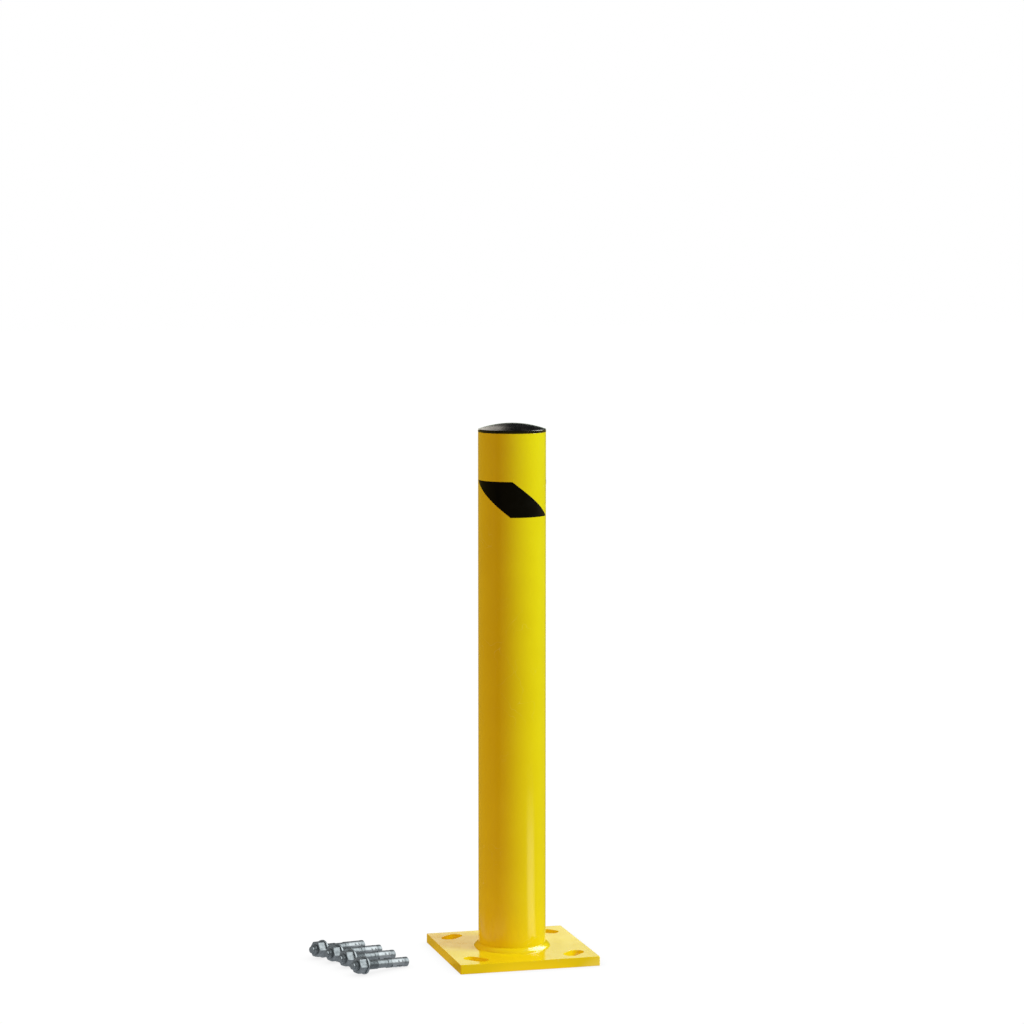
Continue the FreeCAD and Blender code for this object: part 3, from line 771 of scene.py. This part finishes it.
def light_tent():
    """A box round the loose anchors, seen only from inside and only by reflections.
    It glows brightest one way, so that each bare steel part shades from light to dark."""
    build = bmesh.new()
    bmesh.ops.create_cube(build, size=1.0)
    for corner in build.verts:
        share = corner.co + Vector((0.5, 0.5, 0.5))
        corner.co = TENT_LOW + (TENT_HIGH - TENT_LOW) * share
    mesh = bpy.data.meshes.new("light_tent")
    build.to_mesh(mesh)
    build.free()
    paint = Paint("light_tent")
    geometry = paint.node("NewGeometry")
    towards = paint.node("VectorMath", operation="DOT_PRODUCT")
    paint.feed(towards.inputs[0], geometry.outputs["Incoming"])
    towards.inputs[1].default_value = -TENT_BRIGHT_WAY
    bright = paint.remap(towards.outputs["Value"], 0.66, 1.0, 0.0, 1.0, smooth=True)
    # a ray that has come in through a wall started outside, so it goes out again unchanged
    passed = paint.math("GREATER_THAN", paint.node("LightPath").outputs["Transparent Depth"], 0.5)
    outside = paint.math("SUBTRACT", 1.0, geometry.outputs["Backfacing"])
    choice = paint.node("MixShader")
    paint.feed(choice.inputs[0], paint.math("MAXIMUM", outside, passed))
    paint.feed(choice.inputs[1], paint.glow(paint.mix(bright, TENT_DIM, TENT_BRIGHT)))
    paint.feed(choice.inputs[2], paint.node("BsdfTransparent").outputs[0])
    tent = staged("light_tent", mesh, paint, choice.outputs[0])
    tent.visible_camera = False
    tent.visible_diffuse = False
    tent.visible_shadow = False


def wedge(paint, away, turn, inner, outer):
    """1 in a wedge of floor seen from the post, fading out between two half angles.
    turn is the wedge's middle in degrees, from the camera's side towards the right."""
    along = paint.node("VectorMath", operation="DOT_PRODUCT")
    paint.feed(along.inputs[0], paint.place)
    turn = math.radians(turn)
    along.inputs[1].default_value = RIGHT * math.sin(turn) - AWAY * math.cos(turn)
    facing = paint.math("DIVIDE", along.outputs["Value"], away)
    near, far = math.cos(math.radians(inner)), math.cos(math.radians(outer))
    return paint.remap(facing, far, near, 0.0, 1.0, smooth=True)


def floor_glow(paint):
    """What the floor gives to matt light and to reflections."""
    distance = paint.node("VectorMath", operation="LENGTH")
    paint.feed(distance.inputs[0], paint.place)
    away = distance.outputs["Value"]
    pool = paint.remap(away, 0.3, 1.9, 1.0, 0.06, smooth=True)
    # the floor under the plate lights the walls of the slots
    through_slots = paint.remap(away, 0.14, 0.15, 1.8, 1.0)
    matt = paint.mix(paint.math("MULTIPLY", pool, through_slots), DARK, FLOOR_MATT)
    # mirrored low on the tube: a lit patch at the right and a dark strip at the left
    fade = paint.remap(away, 0.9, 1.7, 1.0, 0.0, smooth=True)
    lit = paint.math("MULTIPLY", wedge(paint, away, 65, 3, 18), fade)
    patch = paint.mix(lit, DARK, FLOOR_PATCH)
    dark_strip = paint.math("MULTIPLY", wedge(paint, away, -48, 3, 13), 0.6)
    mirrored = paint.add(paint.mix(dark_strip, FLOOR_MIRROR, DARK), patch)
    # the anchors mirror the floor beside them, inside their tent
    short = paint.remap(paint.node("LightPath").outputs["Ray Length"], 0.25, 0.35, 1.0, 0.0)
    across = paint.node("SeparateXYZ")
    paint.feed(across.inputs[0], paint.place)
    beside = paint.remap(across.outputs[0], TENT_HIGH.x - 0.005, TENT_HIGH.x, 1.0, 0.0)
    mirrored = paint.mix(paint.math("MULTIPLY", short, beside), mirrored, FLOOR_AT_ZINC)
    return matt, mirrored


def branch(paint, camera_side, mirror_side, matt_side):
    """Emission that differs for what the camera sees, for reflections and for matt light."""
    path = paint.node("LightPath")
    colour = paint.mix(path.outputs["Is Glossy Ray"], matt_side, mirror_side)
    return paint.mix(path.outputs["Is Camera Ray"], colour, camera_side)


def floor():
    """A plain white floor with a painted contact shadow round the object where the camera sees it;
    for matt light and reflections it glows near the object and falls dark further off.
    """
    reach = 30.0
    mesh = bpy.data.meshes.new("studio_floor")
    signs = ((-1, -1), (1, -1), (1, 1), (-1, 1))
    corners = [(x * reach, y * reach, FLOOR_Z) for x, y in signs]
    mesh.from_pydata(corners, [], [(0, 1, 2, 3)])
    paint = Paint("studio_floor")
    matt, mirrored = floor_glow(paint)
    # painted shadow: the camera sees the floor grey where ambient occlusion finds the object close
    # by, and white elsewhere
    seen = paint.mix(paint.cavity(0.10), (0.80, 0.80, 0.80), (1.02, 1.02, 1.02))
    staged("studio_floor", mesh, paint, paint.glow(branch(paint, seen, mirrored, matt)))


def surroundings():
    """White behind the object, and a dark studio for reflections."""
    world = bpy.data.worlds.new("studio")
    world.use_nodes = True
    world.cycles.sampling_method = "NONE"
    tree = world.node_tree
    tree.nodes.clear()
    path = tree.nodes.new("ShaderNodeLightPath")

    def either(ray, colour, otherwise):
        """One colour for rays of a kind, and another one otherwise."""
        step = tree.nodes.new("ShaderNodeMix")
        step.data_type = "RGBA"
        step.inputs[7].default_value = (*colour, 1.0)
        tree.links.new(path.outputs[ray], step.inputs[0])
        if isinstance(otherwise, tuple):
            step.inputs[6].default_value = (*otherwise, 1.0)
        else:
            tree.links.new(otherwise, step.inputs[6])
        return step.outputs[2]

    unseen = either("Is Glossy Ray", WORLD_MIRROR, WORLD_MATT)
    colour = either("Is Camera Ray", WHITE, unseen)
    background = tree.nodes.new("ShaderNodeBackground")
    output = tree.nodes.new("ShaderNodeOutputWorld")
    tree.links.new(colour, background.inputs["Color"])
    tree.links.new(background.outputs[0], output.inputs["Surface"])
    bpy.context.scene.world = world
    bpy.context.scene.view_settings.view_transform = "Standard"


# ---------------------------------------------------------------- build it all

yellow = powder_coat()
vinyl = black_tape()
steel_post(yellow, bore_steel())
slotted_plate(yellow)
foot_weld(yellow)
domed_cap(cap_plastic())
tape_piece("front_black_tape", "stripe_front", vinyl)
tape_piece("rear_black_tape", "stripe_rear", vinyl)
finish_anchors()
floor()
light_tent()
surroundings()
lamps()
camera()
